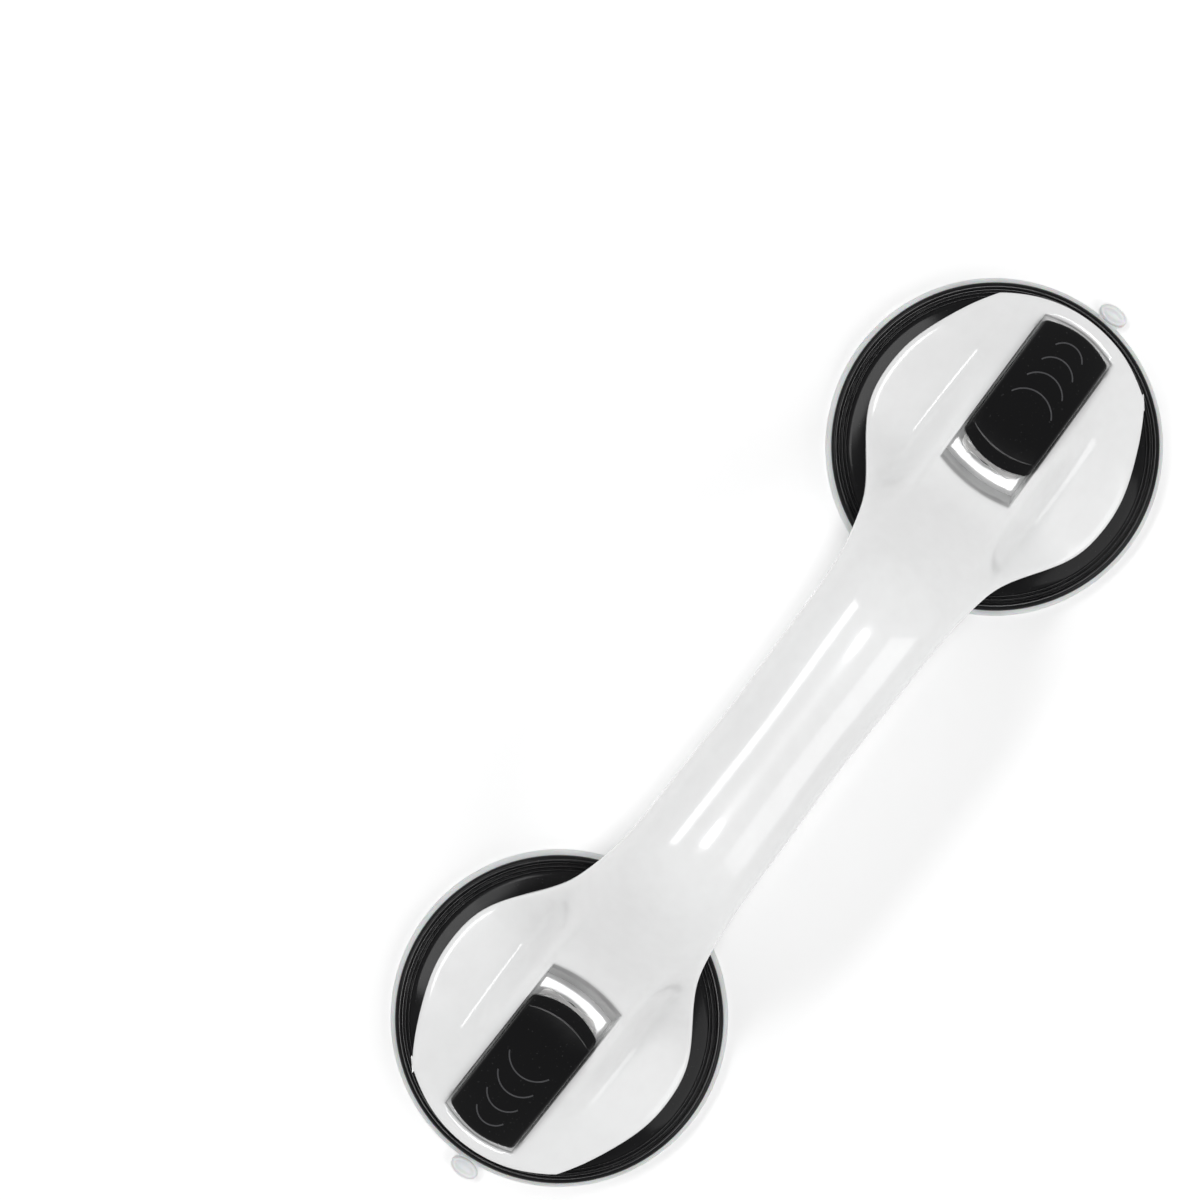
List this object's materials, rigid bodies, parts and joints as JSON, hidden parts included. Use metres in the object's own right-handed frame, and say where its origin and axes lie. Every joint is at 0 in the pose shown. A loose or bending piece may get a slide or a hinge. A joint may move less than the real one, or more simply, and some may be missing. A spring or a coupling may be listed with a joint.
{
  "type": "suction grab bar",
  "caption": "Handle bar with a suction head at each end; flip levers draw the pads up to hold it on a smooth wall.",
  "frame": {"origin": "centre of the bar at the wall plane, the bottom of its box", "axes": "+X along the bar towards the right head, +Z away from the wall it is stuck to"},
  "size_m": [0.3146, 0.0976, 0.072],
  "materials": {
    "white_plastic": "glossy moulded",
    "black_housing": "glossy moulded",
    "black_lever": "glossy moulded",
    "clear_rubber": "translucent soft moulded",
    "nylon": "satin moulded",
    "stud_steel": "turned",
    "plate_steel": "stamped",
    "spring_steel": "drawn wire",
    "screw_steel": "zinc plated"
  },
  "bodies": {
    "handle": {"handle_shell": "white_plastic", "grip_cover": "white_plastic", "cover_screws": "screw_steel", "suction_housing_left": "black_housing", "suction_housing_right": "black_housing", "housing_screws_left": "screw_steel", "housing_screws_right": "screw_steel", "suction_pad_left": "clear_rubber", "suction_pad_right": "clear_rubber", "guide_bush_left": "nylon", "guide_bush_right": "nylon", "cam_plate_left": "plate_steel", "cam_plate_right": "plate_steel", "return_spring_left": "spring_steel", "return_spring_right": "spring_steel"},
    "stud_left": {"draw_stud_left": "stud_steel", "pad_core_left": "nylon", "lever_pin_left": "stud_steel"},
    "lever_left": {"cam_lever_left": "black_lever"},
    "stud_right": {"draw_stud_right": "stud_steel", "pad_core_right": "nylon", "lever_pin_right": "stud_steel"},
    "lever_right": {"cam_lever_right": "black_lever"}
  },
  "joints": [
    {"name": "stud_slide_left", "type": "slide", "parent": "handle", "child": "stud_left", "axis": [0, 0, 1], "range_m": [-0.004, 0], "deforming": ["suction_pad_left", "return_spring_left"]},
    {"name": "lever_flip_left", "type": "hinge", "parent": "stud_left", "child": "lever_left", "pos_m": [-0.1038, 0, 0.0246], "axis": [0, 1, 0], "range_deg": [0, 90]},
    {"name": "stud_slide_right", "type": "slide", "parent": "handle", "child": "stud_right", "axis": [0, 0, 1], "range_m": [-0.004, 0], "deforming": ["suction_pad_right", "return_spring_right"]},
    {"name": "lever_flip_right", "type": "hinge", "parent": "stud_right", "child": "lever_right", "pos_m": [0.1038, 0, 0.0246], "axis": [0, -1, 0], "range_deg": [0, 90]}
  ],
  "couplings": [
    {"joint": "stud_slide_left", "follows": "lever_flip_left", "m_per_rad": -0.0025465},
    {"joint": "stud_slide_right", "follows": "lever_flip_right", "m_per_rad": -0.0025465}
  ]
}
